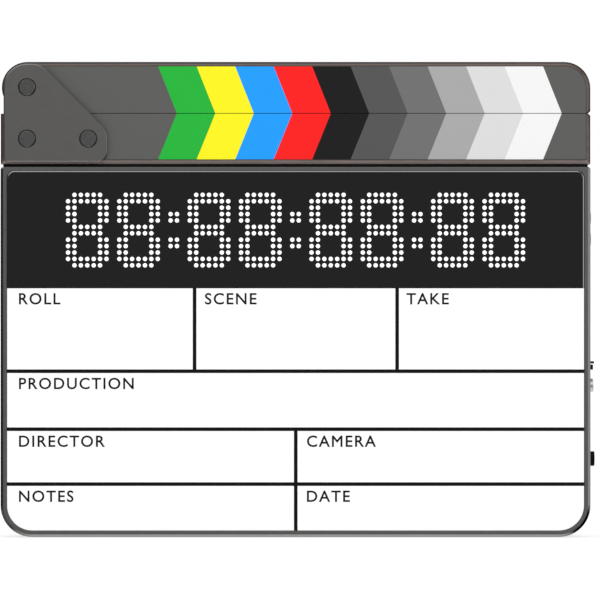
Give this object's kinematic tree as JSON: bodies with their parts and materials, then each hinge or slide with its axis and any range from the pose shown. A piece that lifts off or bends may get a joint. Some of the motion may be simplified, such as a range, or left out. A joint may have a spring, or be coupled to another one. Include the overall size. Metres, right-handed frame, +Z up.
{
  "type": "clapperboard",
  "caption": "Clapperboard with a dot-matrix time display over a wipe-clean writing board and a hinged pair of striped clapper sticks on top.",
  "frame": {"origin": "middle of the housing's flat bottom face", "axes": "+X to the right as seen from the front, +Y from the front to the back, +Z up"},
  "size_m": [0.2825, 0.0326, 0.2255],
  "materials": {
    "frame_metal": "dark grey satin anodised",
    "board_white": "white, wipe-clean gloss",
    "window_smoke": "black smoked acrylic, gloss",
    "circuit_black": "black solder mask",
    "circuit_green": "green solder mask",
    "dot_white": "white diffuser",
    "steel": "zinc plated",
    "cell_wrap": "blue heat-shrink wrap",
    "ribbon_grey": "grey flat cable",
    "button_black": "black, fine texture",
    "switch_black": "black moulding",
    "rubber_black": "black, matt",
    "jack_black": "black moulding",
    "knob_black": "black, grooved",
    "brass": "turned",
    "stick_wood": "dark stained hardwood, satin lacquer",
    "label_grey": "printed sheet, satin",
    "magnet_nickel": "nickel plated",
    "sensor_black": "black moulding",
    "plate_metal": "dark grey satin anodised",
    "bolt_dark": "dark plated",
    "washer_nylon": "black nylon"
  },
  "bodies": {
    "board": {"housing": "frame_metal", "rear_cover": "frame_metal", "writing_board": "board_white", "display_window": "window_smoke", "led_board": "circuit_black", "led_dots": "dot_white", "led_board_screws": "steel", "control_board": "circuit_green", "control_board_screws": "steel", "battery_pack": "cell_wrap", "battery_strap": "steel", "battery_strap_screws": "steel", "ribbon_cable": "ribbon_grey", "button_switches": "switch_black", "usb_socket": "steel", "port_cover_anchor": "rubber_black", "timecode_jack": "jack_black", "jack_nut": "steel", "knob_encoder": "steel", "cover_screws": "bolt_dark", "tripod_insert": "brass", "rear_feet": "rubber_black", "stick_gasket": "rubber_black", "stick_bolts": "steel", "lower_stick": "stick_wood", "lower_stick_label": "label_grey", "lower_magnets": "magnet_nickel", "clap_sensor": "sensor_black", "hinge_plate_front": "plate_metal", "hinge_plate_rear": "plate_metal", "pivot_screw": "bolt_dark", "pivot_post": "bolt_dark", "pivot_washers": "washer_nylon", "plate_screws": "bolt_dark", "plate_posts": "bolt_dark", "plate_washers": "washer_nylon"},
    "clapper": {"upper_stick": "stick_wood", "upper_stick_label": "label_grey", "upper_magnets": "magnet_nickel", "pivot_bush": "brass"},
    "upper_button": {"side_button_upper": "button_black"},
    "lower_button": {"side_button_lower": "button_black"},
    "jog_knob": {"side_knob": "knob_black", "knob_shaft": "steel"},
    "port_flap": {"port_cover": "rubber_black"}
  },
  "joints": [
    {"name": "clapper_hinge", "type": "hinge", "parent": "board", "child": "clapper", "pos_m": [-0.12735, 0, 0.2134], "axis": [0, -1, 0], "range_deg": [0, 90]},
    {"name": "upper_button_press", "type": "slide", "parent": "board", "child": "upper_button", "axis": [-1, 0, 0], "range_m": [0, 0.0004], "stiffness_N_per_m": 400, "springref_m": -0.0005},
    {"name": "lower_button_press", "type": "slide", "parent": "board", "child": "lower_button", "axis": [-1, 0, 0], "range_m": [0, 0.0004], "stiffness_N_per_m": 400, "springref_m": -0.0005},
    {"name": "jog_knob_turn", "type": "hinge", "parent": "board", "child": "jog_knob", "pos_m": [0.1405, 0.0004, 0.0369], "axis": [1, 0, 0], "continuous": true},
    {"name": "port_cover_swing", "type": "hinge", "parent": "board", "child": "port_flap", "pos_m": [0.1392, -0.0025, 0.0918], "axis": [0, -1, 0], "range_deg": [0, 120]}
  ]
}
